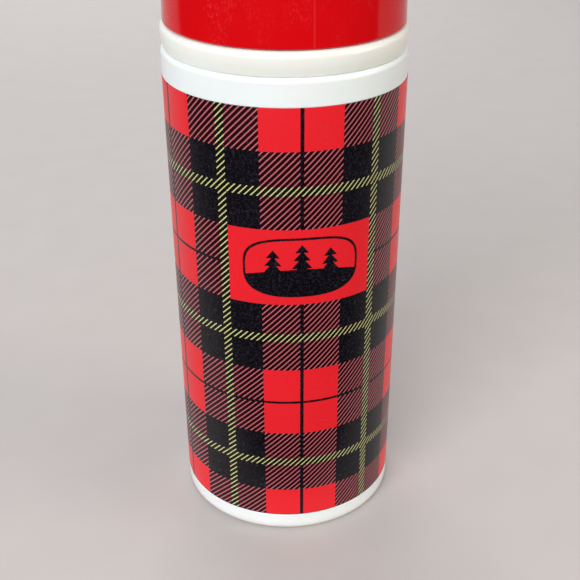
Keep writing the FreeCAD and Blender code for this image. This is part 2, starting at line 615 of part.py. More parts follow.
def stopper_grip():
    """Ribbed knob that closes the top of the stopper."""
    top = Z_GRIP + GRIP_HEIGHT
    plug = STOPPER_RADIUS - STOPPER_WALL - FIT_GAP
    z_plug = Z_GRIP - GRIP_PLUG_DEPTH
    edge = GRIP_RADIUS - GRIP_DRAFT
    knob = turned([
        (0, z_plug, 0),
        (plug, z_plug, EDGE_ROUND),
        (plug, Z_GRIP, 0),
        (GRIP_RADIUS, Z_GRIP, 0),
        (edge, top, INNER_ROUND),
        (edge - GRIP_RIM, top, EDGE_ROUND),
        (edge - GRIP_RIM - GRIP_RECESS, top - GRIP_RECESS, EDGE_ROUND),
        (0, top - GRIP_RECESS, 0),
    ])
    rib_height = GRIP_HEIGHT - GRIP_RIB_DROP
    rib = Part.makeCylinder(GRIP_RIB_RADIUS, rib_height)
    rib = rib.fuse(Part.makeSphere(GRIP_RIB_RADIUS, FreeCAD.Vector(0, 0, rib_height)))
    rib.translate(FreeCAD.Vector(GRIP_RADIUS - RIB_SINK, 0, Z_GRIP))
    ribs = []
    for index in range(GRIP_RIB_COUNT):
        copy = rib.copy()
        copy.rotate(FreeCAD.Vector(0, 0, 0), FreeCAD.Vector(0, 0, 1), (index + 0.5) * 360 / GRIP_RIB_COUNT)
        ribs.append(copy)
    return knob.fuse(ribs).removeSplitter()


def stopper_gasket():
    """Rubber ring that the stopper presses on the neck gasket."""
    inner = STOPPER_PLUG + BODY_GAP
    outer = STOPPER_RADIUS
    top = Z_STOPPER_SEAL + STOPPER_SEAL_HEIGHT
    return turned([
        (inner, Z_STOPPER_SEAL, EDGE_ROUND),
        (outer, Z_STOPPER_SEAL, EDGE_ROUND),
        (outer, top, EDGE_ROUND),
        (inner, top, EDGE_ROUND),
    ])


# ---- Cup -------------------------------------------------------------------------------------
def drinking_cup():
    """Cup, upside down over the stopper, threaded inside its rim."""
    top = Z_CUP + CUP_HEIGHT
    crown = CUP_RADIUS - CUP_TAPER
    recess = crown - CUP_RECESS_INSET
    ceiling = top - CUP_RECESS - CUP_WALL
    shell = turned([
        (CUP_BORE, Z_CUP, EDGE_ROUND),
        (CUP_RADIUS, Z_CUP, CUP_RIM_ROUND),
        (crown, top, CUP_CORNER),
        (recess + CUP_RECESS, top, CUP_RECESS_ROUND),
        (recess, top - CUP_RECESS, CUP_RECESS_ROUND),
        (0, top - CUP_RECESS, 0),
        (0, ceiling, 0),
        (crown - CUP_WALL, ceiling, CUP_CORNER - CUP_WALL),
    ])
    start = Z_CUP + THREAD_LEAD_IN + CUP_THREAD["pitch"] / 2
    rib = thread_rib(CUP_BORE, CUP_THREAD, start, True)
    return shell.fuse(rib).removeSplitter()


PIECES = {
    "drinking_cup": drinking_cup,
    "stopper_shell": stopper_shell,
    "stopper_grip": stopper_grip,
    "stopper_foam": stopper_foam,
    "stopper_gasket": stopper_gasket,
    "pouring_collar": pouring_collar,
    "shoulder_collar": shoulder_collar,
    "neck_gasket": neck_gasket,
    "outer_jacket": outer_jacket,
    "jacket_bottom_ring": jacket_bottom_ring,
    "paper_liner": paper_liner,
    "shoulder_cushion": shoulder_cushion,
    "filler_inner_flask": filler_inner_flask,
    "filler_outer_flask": filler_outer_flask,
    "filler_spacers": filler_spacers,
    "seal_tip_cap": seal_tip_cap,
    "base_cushion": base_cushion,
    "base_cup": base_cup,
}

os.makedirs("parts", exist_ok=True)
for name, make in PIECES.items():
    piece = make()
    piece.exportStep("parts/" + name + ".step")
    print(name, "valid" if piece.isValid() else "NOT VALID", len(piece.Solids), round(piece.Volume, 1))
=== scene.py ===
import math

import bmesh
import bpy
import numpy as np
from mathutils import Matrix, Vector


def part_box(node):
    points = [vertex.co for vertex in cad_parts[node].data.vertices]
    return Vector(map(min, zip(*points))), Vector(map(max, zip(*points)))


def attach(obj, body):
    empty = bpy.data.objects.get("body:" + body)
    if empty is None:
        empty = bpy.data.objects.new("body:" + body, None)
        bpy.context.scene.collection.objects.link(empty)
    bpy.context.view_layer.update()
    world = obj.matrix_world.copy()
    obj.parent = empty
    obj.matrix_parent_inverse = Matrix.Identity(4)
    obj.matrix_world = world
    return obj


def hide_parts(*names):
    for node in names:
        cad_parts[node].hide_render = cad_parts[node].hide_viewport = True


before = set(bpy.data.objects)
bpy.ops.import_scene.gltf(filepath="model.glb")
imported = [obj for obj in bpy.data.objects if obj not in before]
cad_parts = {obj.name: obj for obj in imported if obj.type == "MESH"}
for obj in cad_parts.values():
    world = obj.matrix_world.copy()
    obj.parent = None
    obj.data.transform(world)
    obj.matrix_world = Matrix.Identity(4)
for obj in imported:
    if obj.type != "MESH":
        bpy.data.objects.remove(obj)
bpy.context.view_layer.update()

# ---- Camera ----------------------------------------------------------------------------------
# The viewer sits at a table and looks down on the flask from a short arm's length, from a little
# to the left of its front. Distances are in jacket radii, so the view follows the jacket's size.
# Angles are in radians.
jacket_low, jacket_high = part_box("outer_jacket")
jacket_radius = (jacket_high.x - jacket_low.x) / 2
viewer_bearing = 0.1264
heading = viewer_bearing + 0.0359
pitch = 0.5757
roll = 0.0125
away = 8.395 * jacket_radius
eye_height = jacket_low.z + 6.3156 * jacket_radius
eye = Vector((-math.sin(viewer_bearing) * away, -math.cos(viewer_bearing) * away, eye_height))
forward = Vector((
    math.sin(heading) * math.cos(pitch),
    math.cos(heading) * math.cos(pitch),
    -math.sin(pitch),
))
level = forward.cross(Vector((0, 0, 1))).normalized()
upright = level.cross(forward)
right = level * math.cos(roll) + upright * math.sin(roll)
over = upright * math.cos(roll) - level * math.sin(roll)
camera = bpy.data.objects.new("camera", bpy.data.cameras.new("camera"))
camera.data.sensor_width = 36
camera.data.lens = 63.575
camera.data.shift_x = -0.04855
camera.data.shift_y = 0.1546
camera.data.clip_start = 0.01
camera.matrix_world = Matrix.Translation(eye) @ Matrix((right, over, -forward)).transposed().to_4x4()
bpy.context.scene.collection.objects.link(camera)
bpy.context.scene.camera = camera
bpy.context.scene.view_settings.view_transform = "Standard"


# ---- Floor -----------------------------------------------------------------------------------
# A plain pale table, matt emulsion rolled on board. Only its far part shows in reflections: it ends
# just in front of the flask and slants away to its left, as if the dim room began there.
def linear(hex_colour):
    """sRGB hex to linear light: a straight line near black, and a power of 2.4 above it."""
    channels = np.array([int(hex_colour[i:i + 2], 16) for i in (0, 2, 4)]) / 255
    curved = ((channels + 0.055) / 1.055) ** 2.4
    return (*np.where(channels <= 0.04045, channels / 12.92, curved).tolist(), 1.0)


def principled(name, **surface):
    """New material whose Principled shader has these values on its own sockets."""
    made = bpy.data.materials.new(name)
    made.use_nodes = True
    shader = made.node_tree.nodes["Principled BSDF"]
    for socket, value in surface.items():
        shader.inputs[socket.replace("_", " ")].default_value = value
    return made


def add(where, kind, inputs=None, output=0, feeds=None, **settings):
    """Adds one node with its properties and its input values or links, and returns an output.

    feeds names the Principled shader's input that the output goes to.
    """
    tree = where.node_tree
    node = tree.nodes.new(kind)
    for name, value in settings.items():
        setattr(node, name, value)
    for socket, value in (inputs or {}).items():
        if isinstance(value, bpy.types.NodeSocket):
            tree.links.new(value, node.inputs[socket])
        else:
            node.inputs[socket].default_value = value
    result = node.outputs[output]
    if feeds:
        tree.links.new(result, tree.nodes["Principled BSDF"].inputs[feeds])
    return result


def cells(size):
    """Noise scale that gives cells this many mm across: that many fit in one metre."""
    return 1000 / size


# A matt paint: no gloss to speak of, and a faint mottle where the roller went over twice.
floor_paint = principled("matt emulsion paint", Roughness=0.85)
place = add(floor_paint, "ShaderNodeTexCoord", output="Object")
mottle = add(floor_paint, "ShaderNodeTexNoise", {"Vector": place, "Scale": cells(25), "Detail": 3.0})
add(floor_paint, "ShaderNodeMix", {0: mottle, 6: linear("BAB4B1"), 7: linear("C0BAB7")}, output=2,
    feeds="Base Color", data_type="RGBA")
reach = 20.0
front_edge = -0.07
corner = -0.2
slant_end = 15.32
edge_start = (corner, front_edge)
edge_end = (-reach, slant_end)
edge_right = (reach, front_edge)
table_parts = {
    "floor": [edge_start, edge_right, (reach, reach), (-reach, reach), edge_end],
    "floor_front": [(-reach, -reach), (reach, -reach), edge_right, edge_start, edge_end],
}
for name, outline in table_parts.items():
    floor_mesh = bpy.data.meshes.new(name)
    floor_mesh.from_pydata([(x, y, 0) for x, y in outline], [], [range(len(outline))])
    floor_mesh.materials.append(floor_paint)
    floor = bpy.data.objects.new(name, floor_mesh)
    bpy.context.scene.collection.objects.link(floor)

# The front part, which is the last one made, is seen but neither mirrored nor a source of light.
floor.visible_glossy = False
floor.visible_diffuse = False

# ---- Studio light ----------------------------------------------------------------------------
# A pale room that is dim below the table's edge, a large soft window to the front, a weaker warm
# one to the right, and a panel at the back that brightens the table and shows in no reflection.
world = bpy.data.worlds.new("pale room")
world.use_nodes = True
sky = world.node_tree.nodes["Background"]
sky.inputs["Strength"].default_value = 0.62
direction = add(world, "ShaderNodeTexCoord", output="Generated")
height = add(world, "ShaderNodeSeparateXYZ", {0: direction}, output="Z")
above_edge = add(world, "ShaderNodeMapRange", {"Value": height, "From Min": -0.1, "From Max": 0.0})
walls = add(world, "ShaderNodeMix", {0: above_edge, 6: linear("3A3733"), 7: linear("E9ECF2")}, output=2,
            data_type="RGBA")
world.node_tree.links.new(walls, sky.inputs["Color"])
bpy.context.scene.world = world
flask_middle = Vector((0, 0, 0.12))
lamps = (
    ("window", (-0.75, -1.15, 0.75), 0.9, 22.0, "FFFFFF"),
    ("warm_window", (1.1, -0.5, 0.5), 0.6, 6.0, "FFF4E0"),
    ("back_panel", (-0.1, 1.2, 0.9), 1.0, 9.0, "FFFFFF"),
)
for name, where, size, watts, colour in lamps:
    lamp = bpy.data.lights.new(name, "AREA")
    lamp.size = size
    lamp.energy = watts
    lamp.color = linear(colour)[:3]
    holder = bpy.data.objects.new(name, lamp)
    aim = flask_middle - Vector(where)
    holder.matrix_world = Matrix.Translation(where) @ aim.to_track_quat("-Z", "Y").to_matrix().to_4x4()
    bpy.context.scene.collection.objects.link(holder)

# The panel at the back, the last in the list, would show as a white disc in the cup's end.
holder.visible_glossy = False


# ---- Outer jacket ----------------------------------------------------------------------------
# Tinplate 0.35 mm thick, printed flat and varnished, then rolled into a tube and closed with a
# folded seam down the back. Its bottom edge is curled in over the ring that holds the base.
def rounded(corners, arc_steps=8, hold=0.15, longest=6.0):
    """Closed outline through (radius, height, rounding) corners in mm, as two arrays.

    Each corner becomes an arc that touches both its sides: the arc's centre lies on the corner's
    bisector, at the rounding divided by the sine of half the corner's angle. Straight runs get a
    point close to each end, which holds the shading, and points between no further than longest,
    or than the corner's fourth value on the run after it.
    """
    points = np.array([corner[:2] for corner in corners], float)
    rounding = np.array([corner[2] for corner in corners], float)
    before = np.roll(points, 1, 0) - points
    after = np.roll(points, -1, 0) - points
    before /= np.linalg.norm(before, axis=1)[:, None]
    after /= np.linalg.norm(after, axis=1)[:, None]
    angle = np.arccos(np.clip((before * after).sum(1), -1, 1))
    reach = rounding / np.tan(angle / 2)
    bisector = before + after
    bisector /= np.maximum(np.linalg.norm(bisector, axis=1), 1e-9)[:, None]
    centre = points + bisector * (rounding / np.sin(angle / 2))[:, None]
    starts = points + before * reach[:, None]
    ends = points + after * reach[:, None]
    pieces = []
    for i in range(len(points)):
        if rounding[i] > 0:
            sweep = math.pi - angle[i]
            share = np.linspace(0, 1, arc_steps + 1)[:, None]
            spokes = np.sin((1 - share) * sweep) * (starts[i] - centre[i])
            spokes = spokes + np.sin(share * sweep) * (ends[i] - centre[i])
            pieces.append(centre[i] + spokes / math.sin(sweep))
        else:
            pieces.append(points[i:i + 1])
        run = np.roll(starts, -1, 0)[i] - ends[i]
        length = np.linalg.norm(run)
        if length > 3 * hold:
            spacing = corners[i][3] if len(corners[i]) > 3 else longest
            inner = np.linspace(hold, length - hold, 2 + int(length / spacing))
            pieces.append(ends[i] + run / length * inner[:, None])
    outline = np.concatenate(pieces)
    return outline[:, 0], outline[:, 1]


def turned(name, outline, paint, shape=None, steps=256, extra=()):
    """Mesh that an outline in mm sweeps when it turns once about the Z axis.

    A point at (radius, height) and turn goes to (radius sin turn, -radius cos turn, height), with
    turn from -pi to pi, so the front is at turn 0 and the ends meet at the back. shape takes turn,
    radius and height and returns the new radius, for threads and ribs. The UV map is the share of
    the way round and the share of the height.
    """
    turn = np.linspace(-math.pi, math.pi, steps, endpoint=False)
    turn = np.unique(np.concatenate([turn, np.array(extra, float)]))
    radius, height = (part[:, None] * np.ones(len(turn)) for part in outline)
    turns = np.ones(radius.shape) * turn
    if shape:
        radius = shape(turns, radius, height)
    spots = np.stack([radius * np.sin(turns), -radius * np.cos(turns), height], -1) / 1000
    rows, columns = radius.shape
    row = np.arange(rows)[:, None]
    column = np.arange(columns)[None, :]
    row_next = (row + 1) % rows
    column_next = (column + 1) % columns
    corners = [(row, column), (row, column_next), (row_next, column_next), (row_next, column)]
    faces = np.stack([(a * columns + b) * np.ones((rows, columns), int) for a, b in corners], -1)
    around = np.append((turn + math.pi) / math.tau, 1.0)
    across = np.stack([around[:-1], around[1:], around[1:], around[:-1]], -1)
    share = (height[:, 0] - height.min()) / (height.max() - height.min())
    up = np.stack([share, share, np.roll(share, -1), np.roll(share, -1)], -1)
    flat = np.stack([across[None] + 0 * up[:, None], up[:, None] + 0 * across[None]], -1)
    mesh = bpy.data.meshes.new(name)
    mesh.from_pydata(spots.reshape(-1, 3), [], faces.reshape(-1, 4).tolist())
    mesh.uv_layers.new(name="UVMap").data.foreach_set("uv", flat.reshape(-1).astype(np.float32))
    work = bmesh.new()
    work.from_mesh(mesh)
    bmesh.ops.remove_doubles(work, verts=work.verts, dist=1e-7)
    bmesh.ops.recalc_face_normals(work, faces=work.faces)
    work.to_mesh(mesh)
    work.free()
    mesh.shade_smooth()
    mesh.set_sharp_from_angle(angle=math.radians(35))
    mesh.materials.append(paint)
    piece = bpy.data.objects.new(name, mesh)
    bpy.context.scene.collection.objects.link(piece)
    return piece


def measure(node):
    """Lowest height, highest height and radius of a round CAD node, in mm."""
    low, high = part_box(node)
    return low.z * 1000, high.z * 1000, (high.x - low.x) * 500


tin_bottom, tin_top, tin_radius = measure("outer_jacket")
tin_wall = 0.35
tin_curl = 1.6
tin_edge_round = 0.12
tin_curl_round = 0.3
seam_width = 5.0
seam_groove = 0.12            # depth
seam_groove_half = 0.3        # half its width
badge_height = 114.8          # middle of the badge above the print's bottom edge
plaid_repeat = 58.1
red_band = 29.6
yellow_band = 3.4
thread_line = 1.35
weft_line = 1.0
twill_pitch = 2.27            # from stroke to stroke, measured level
hem_height = 57.4             # over the badge's middle: the sheet is cut just under the next line
badge_width = 54.4
badge_tall = 29.6

# Ink on white-coated tin under a thin varnish: strong flat colours, and a gloss that is weaker
# than plastic's because the varnish is old.
print_ink = principled("lithographed tinplate, varnished", Roughness=0.3, Specular_IOR_Level=0.22)
sheet_uv = add(print_ink, "ShaderNodeTexCoord", output="UV")
sheet = add(print_ink, "ShaderNodeMapping", {
    "Vector": sheet_uv,
    "Location": (-math.pi * tin_radius, -badge_height, 0),
    "Scale": (math.tau * tin_radius, tin_top - tin_bottom, 1),
})
split = add(print_ink, "ShaderNodeSeparateXYZ", {0: sheet}).node
level_mm = split.outputs["X"]
up_mm = split.outputs["Y"]


def within(distance, half_width, soft=0.12):
    """1 where a distance in mm is under half a width, with a soft edge like ink's."""
    return add(print_ink, "ShaderNodeMapRange", {
        "Value": distance, "From Min": half_width + soft / 2, "From Max": half_width - soft / 2})


def over_ink(under, ink, mask):
    """Ink laid over other ink where the mask is 1."""
    return add(print_ink, "ShaderNodeMix", {0: mask, 6: under, 7: ink}, output=2, data_type="RGBA")


half_repeat = plaid_repeat / 2
warp = add(print_ink, "ShaderNodeMath", {0: level_mm, 1: half_repeat}, operation="PINGPONG")
weft = add(print_ink, "ShaderNodeMath", {0: up_mm, 1: half_repeat}, operation="PINGPONG")
in_red_warp = within(warp, red_band / 2)
in_red_weft = within(weft, red_band / 2)
diagonal = add(print_ink, "ShaderNodeMath", {0: level_mm, 1: up_mm}, operation="SUBTRACT")
slant = add(print_ink, "ShaderNodeMath", {0: diagonal, 1: twill_pitch / 2}, operation="PINGPONG")
stroke = add(print_ink, "ShaderNodeMath", {0: slant, 1: twill_pitch / 2}, operation="DIVIDE")


def stroke_ink(stops):
    """Colour across one diagonal stroke, from its middle out to the middle of the black."""
    ramp = add(print_ink, "ShaderNodeValToRGB", {0: stroke})
    points = ramp.node.color_ramp.elements
    while len(points) < len(stops):
        points.new(0.5)
    for point, (position, colour) in zip(points, stops):
        point.position = position
        point.color = linear(colour)
    return ramp


# The black is stippled, because the ink misses the tin's fine grain. That grain is really about
# 0.2 mm and is drawn 0.77 mm wide, which is as fine as still shows.
tin_place = add(print_ink, "ShaderNodeTexCoord", output="Object")
stipple = add(print_ink, "ShaderNodeTexNoise", {"Vector": tin_place, "Scale": cells(0.77), "Detail": 2.0})
pooled = add(print_ink, "ShaderNodeTexNoise", {"Vector": tin_place, "Scale": cells(28.6), "Detail": 3.0})
thin_ink = add(print_ink, "ShaderNodeMath", {0: 1.0, 1: stipple}, operation="SUBTRACT")
missed = within(thin_ink, 0.42, soft=0.2)
half_missed = add(print_ink, "ShaderNodeMath", {0: missed, 1: 0.5}, operation="MULTIPLY")
black_ink = over_ink(linear("07050A"), linear("2E2936"), half_missed)
red_ink = over_ink(linear("E62028"), linear("DA222C"), pooled)
red_twill = stroke_ink((
    (0.0, "C67780"), (0.16, "B35B65"), (0.34, "50040B"), (0.58, "2C0205"), (0.8, "070305")))
yellow_twill = stroke_ink((
    (0.0, "E2DEB2"), (0.13, "CCC88A"), (0.3, "3E3C0A"), (0.54, "131205"), (0.76, "070706")))
both_red = add(print_ink, "ShaderNodeMath", {0: in_red_warp, 1: in_red_weft}, operation="MULTIPLY")
one_red = add(print_ink, "ShaderNodeMath", {0: in_red_warp, 1: in_red_weft}, operation="SUBTRACT")
one_red = add(print_ink, "ShaderNodeMath", {0: one_red}, operation="ABSOLUTE")
plaid = over_ink(black_ink, red_twill, one_red)
plaid = over_ink(plaid, red_ink, both_red)
warp_lines = within(warp, thread_line / 2)
weft_lines = within(weft, weft_line / 2)
under_hem = within(up_mm, hem_height)
fine_lines = add(print_ink, "ShaderNodeMath", {0: weft_lines, 1: under_hem}, operation="MULTIPLY")
fine_lines = add(print_ink, "ShaderNodeMath", {0: warp_lines, 1: fine_lines}, operation="MAXIMUM")
plaid = over_ink(plaid, black_ink, fine_lines)
off_warp = add(print_ink, "ShaderNodeMath", {0: half_repeat, 1: warp}, operation="SUBTRACT")
off_weft = add(print_ink, "ShaderNodeMath", {0: half_repeat, 1: weft}, operation="SUBTRACT")
yellow_warp = within(off_warp, yellow_band / 2)
yellow_weft = within(off_weft, yellow_band / 2)
yellow = add(print_ink, "ShaderNodeMath", {0: yellow_warp, 1: yellow_weft}, operation="MAXIMUM")
plaid = over_ink(plaid, yellow_twill, yellow)
off_badge = add(print_ink, "ShaderNodeMath", {0: level_mm}, operation="ABSOLUTE")
over_badge = add(print_ink, "ShaderNodeMath", {0: up_mm}, operation="ABSOLUTE")
across_badge = within(off_badge, badge_width / 2)
up_badge = within(over_badge, badge_tall / 2)
badge = add(print_ink, "ShaderNodeMath", {0: across_badge, 1: up_badge}, operation="MULTIPLY")
plaid = over_ink(plaid, red_ink, badge)

# Where the sheet is curled under at the bottom, a thin dark line of painted shade stands for the shadow of
# the curl.
hem_shade_width = 0.4
over_curl = add(print_ink, "ShaderNodeMath", {0: up_mm, 1: badge_height}, operation="ADD")
plaid = over_ink(plaid, linear("4A0E14"), within(over_curl, hem_shade_width))

# The badge's picture is a plain camping emblem: three fir trees on a hill in a rounded frame.
oval_width = 43.4
oval_tall = 23.4
oval_line = 0.9
hill_top = -0.6
hill_curve = 0.006            # drop in mm for each square mm to the side
tier_height = 3.1
tier_spread = 0.62            # how fast each tier of branches widens
tree_spread = 0.2             # and the whole tree
trees = ((-10.5, 7.0, -2.0), (0.0, 9.0, -1.0), (10.5, 7.0, -2.0))    # place, top, foot


def inside_oval(width, tall):
    """1 inside a squarish oval: the two shares' summed third powers have a root under one."""
    powers = []
    for distance, size in ((level_mm, width), (up_mm, tall)):
        share = add(print_ink, "ShaderNodeMath", {0: distance, 1: size / 2}, operation="DIVIDE")
        share = add(print_ink, "ShaderNodeMath", {0: share}, operation="ABSOLUTE")
        powers.append(add(print_ink, "ShaderNodeMath", {0: share, 1: 3.0}, operation="POWER"))
    total = add(print_ink, "ShaderNodeMath", {0: powers[0], 1: powers[1]}, operation="ADD")
    root = add(print_ink, "ShaderNodeMath", {0: total, 1: 1 / 3}, operation="POWER")
    return within(root, 1.0, soft=0.012)


oval = inside_oval(oval_width, oval_tall)
oval_hole = inside_oval(oval_width - 2 * oval_line, oval_tall - 2 * oval_line)
hill_drop = add(print_ink, "ShaderNodeMath", {0: level_mm, 1: 2.0}, operation="POWER")
hill_drop = add(print_ink, "ShaderNodeMath", {0: hill_drop, 1: hill_curve}, operation="MULTIPLY")
over_hill = add(print_ink, "ShaderNodeMath", {0: up_mm, 1: hill_drop}, operation="ADD")
hill = within(over_hill, hill_top)
oval_frame = add(print_ink, "ShaderNodeMath", {0: 1.0, 1: oval_hole}, operation="SUBTRACT")
emblem = add(print_ink, "ShaderNodeMath", {0: hill, 1: oval_frame}, operation="MAXIMUM")
for tree_place, tree_top, tree_foot in trees:
    below_top = add(print_ink, "ShaderNodeMath", {0: tree_top, 1: up_mm}, operation="SUBTRACT")
    tier = add(print_ink, "ShaderNodeMath", {0: below_top, 1: 0.0}, operation="MAXIMUM")
    tier = add(print_ink, "ShaderNodeMath", {0: tier, 1: tier_height}, operation="MODULO")
    branches = add(print_ink, "ShaderNodeMath", {0: tier, 1: tier_spread}, operation="MULTIPLY")
    cone = add(print_ink, "ShaderNodeMath", {0: below_top, 1: tree_spread}, operation="MULTIPLY")
    half_width = add(print_ink, "ShaderNodeMath", {0: branches, 1: cone}, operation="ADD")
    beside = add(print_ink, "ShaderNodeMath", {0: level_mm, 1: tree_place}, operation="SUBTRACT")
    beside = add(print_ink, "ShaderNodeMath", {0: beside}, operation="ABSOLUTE")
    past_side = add(print_ink, "ShaderNodeMath", {0: beside, 1: half_width}, operation="SUBTRACT")
    past_foot = add(print_ink, "ShaderNodeMath", {0: tree_foot, 1: up_mm}, operation="SUBTRACT")
    past_top = add(print_ink, "ShaderNodeMath", {0: up_mm, 1: tree_top}, operation="SUBTRACT")
    tree = within(past_side, 0.0)
    for past in (past_foot, past_top):
        tree = add(print_ink, "ShaderNodeMath", {0: tree, 1: within(past, 0.0)}, operation="MULTIPLY")
    emblem = add(print_ink, "ShaderNodeMath", {0: emblem, 1: tree}, operation="MAXIMUM")
emblem = add(print_ink, "ShaderNodeMath", {0: emblem, 1: oval}, operation="MULTIPLY")
plaid = over_ink(plaid, black_ink, emblem)

# Varnish laid by rollers: it is glossy with a fine orange peel, and use has left pale specks.
specks = add(print_ink, "ShaderNodeTexNoise", {"Vector": tin_place, "Scale": cells(1.11), "Detail": 2.0})
worn = add(print_ink, "ShaderNodeMapRange", {
    "Value": specks, "From Min": 0.62, "From Max": 0.8, "To Max": 0.35})
add(print_ink, "ShaderNodeMix", {0: worn, 6: plaid, 7: linear("5A5260")}, output=2,
    feeds="Base Color", data_type="RGBA")
cloudy = add(print_ink, "ShaderNodeTexNoise", {"Vector": tin_place, "Scale": cells(16.7), "Detail": 4.0})
add(print_ink, "ShaderNodeMapRange", {"Value": cloudy, "To Min": 0.24, "To Max": 0.4}, feeds="Roughness")
peel = add(print_ink, "ShaderNodeTexNoise", {"Vector": tin_place, "Scale": cells(1.43), "Detail": 1.0})
add(print_ink, "ShaderNodeBump", {"Height": peel, "Strength": 0.06, "Distance": 0.0002}, feeds="Normal")


def seam_grooves(turn, radius, height):
    """The folded seam shows as two fine grooves, one on each side of a flat strip."""
    off_middle = np.abs(math.pi - np.abs(turn)) * tin_radius
    groove = np.clip(1 - np.abs(off_middle - seam_width / 2) / seam_groove_half, 0, 1)
    return radius - seam_groove * groove * (radius > tin_radius - tin_wall / 2)


tin_bore = tin_radius - tin_wall
curl_bore = tin_radius - tin_curl
groove_columns = seam_width / 2 + np.linspace(-0.4, 0.4, 9)
seam_turns = math.pi - groove_columns / tin_radius
jacket = turned("printed_jacket", rounded([
    (tin_radius, tin_bottom, tin_curl_round),
    (tin_radius, tin_top, tin_edge_round),
    (tin_bore, tin_top, tin_edge_round),
    (tin_bore, tin_bottom + tin_wall, 0.05),
    (curl_bore, tin_bottom + tin_wall, tin_edge_round),
    (curl_bore, tin_bottom, tin_edge_round),
]), print_ink, seam_grooves, extra=[*seam_turns, *-seam_turns])
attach(jacket, "flask")
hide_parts("outer_jacket")


# ---- Shoulder collar -------------------------------------------------------------------------
# Ring of milk-white polyethylene, injection moulded, pushed into the jacket's top edge. It is
# threaded inside for the pouring collar. The plastic is slightly translucent, with a soft gloss.
def moulded_white(name, pale, shaded):
    """Polyethylene: light sinks in a little, and handling has dulled the gloss in patches."""
    made = principled(name, Roughness=0.3, Subsurface_Weight=0.25, Subsurface_Scale=0.004)
    spot = add(made, "ShaderNodeTexCoord", output="Object")
    patches = add(made, "ShaderNodeTexNoise", {"Vector": spot, "Scale": cells(18.2), "Detail": 4.0})
    add(made, "ShaderNodeMix", {0: patches, 6: linear(pale), 7: linear(shaded)}, output=2,
        feeds="Base Color", data_type="RGBA")
    add(made, "ShaderNodeMapRange", {"Value": patches, "To Min": 0.22, "To Max": 0.42}, feeds="Roughness")
    grain = add(made, "ShaderNodeTexNoise", {"Vector": spot, "Scale": cells(1.11), "Detail": 2.0})
    add(made, "ShaderNodeBump", {"Height": grain, "Strength": 0.08, "Distance": 0.0002}, feeds="Normal")
    return made


def helix(turn, height, start, pitch, turns, root, crest):
    """How much of a right-handed rib stands at each spot, from 0 on the wall to 1 on the crest.

    The rib starts at the back and climbs one pitch a turn. Along the axis it falls off from half
    its crest to half its root, and it fades in and out over an eighth of a turn.
    """
    round_share = (turn + math.pi) / math.tau
    passes = np.round((height - start) / pitch - round_share)
    off_middle = np.abs((height - start) - (passes + round_share) * pitch)
    along = passes + round_share
    flank = np.clip((root / 2 - off_middle) / (root / 2 - crest / 2), 0, 1)
    ends = np.clip(along * 8, 0, 1) * np.clip((turns - along) * 8, 0, 1)
    return flank * ends


white_plastic = moulded_white("polyethylene, milk white, moulded", "ECF0EF", "E3E8E6")
band_bottom, band_top, band_radius = measure("shoulder_collar")
push_fit = 0.1                # between a moulding and the metal or rubber that it fits
collar_wall = 2.2
inner_round = 0.1             # corners inside, where two mouldings meet
fine_round = 0.3
band_skirt = tin_bore - push_fit
band_bore = band_skirt - 2 * collar_wall
band_foot = band_top - 9.0    # lower end of the threaded bore
shoulder = turned("shoulder_band", rounded([
    (band_bore, band_foot, inner_round),
    (band_skirt - collar_wall, band_foot, inner_round),
    (band_skirt - collar_wall, band_bottom, 0.4),
    (band_skirt, band_bottom, 0.6),
    (band_skirt, tin_top, 0.05),
    (band_radius, tin_top, fine_round),
    (band_radius, band_top, 1.7),
    (band_bore, band_top, fine_round),
]), white_plastic)
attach(shoulder, "flask")
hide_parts("shoulder_collar")

# ---- Pouring collar --------------------------------------------------------------------------
# The mouth of the flask, one polyethylene moulding a shade creamier than the band below it: a
# rounded bead, a threaded wall for the cup, and the spout with the stopper's thread inside.
cream_plastic = moulded_white("polyethylene, cream white, moulded", "F0EFEA", "E5E7DD")
collar_bottom, spout_top, _ = measure("pouring_collar")
cup_rim, cup_top, cup_radius = measure("drinking_cup")
_, _, gasket_radius = measure("neck_gasket")
cup_wall = 1.8
rim_gap = 0.3                 # between the bead and the cup's rim
service_rib = 0.8             # depth of the threads that are opened only to change the glass
service_play = 0.25
cup_rib_depth = 1.4
cup_rib_pitch = 4.0
cup_rib_turns = 1.4
cup_rib_root = 2.2
cup_rib_crest = 1.0
cup_pass_gap = 0.4            # between the crests of the cup's rib and the collar's
mouth_rib_depth = 1.6
mouth_rib_pitch = 6.0
mouth_rib_turns = 1.5
mouth_rib_root = 2.6
mouth_rib_crest = 1.2
rib_lead_in = 2.0             # from the start of a threaded wall to its rib
thread_rows = 0.3             # mesh rows on a threaded wall
bead_radius = tin_radius - 0.3
bead_undercut = 0.9
bead_undercut_height = 3.6
bead_curve = 18.0
bead_round = 2.2
bead_top = cup_rim - rim_gap
seat_radius = cup_radius - cup_wall - cup_rib_depth - cup_pass_gap - cup_rib_depth
screw_radius = band_bore - service_rib - service_play
deck = bead_top + 11.5
deck_round = 2.2
deck_underside = deck - collar_wall
lip_top = bead_top - 4.3
gasket_top = lip_top + 3.2
gasket_foot = lip_top - 5.6
stopper_seat = gasket_top + 2.8
socket = gasket_radius + push_fit
mouth = 21.5
spout_radius = mouth + 3.4
spout_flare = 2.4
spout_waist = spout_radius - 1.0
spout_foot = spout_top - 4.65


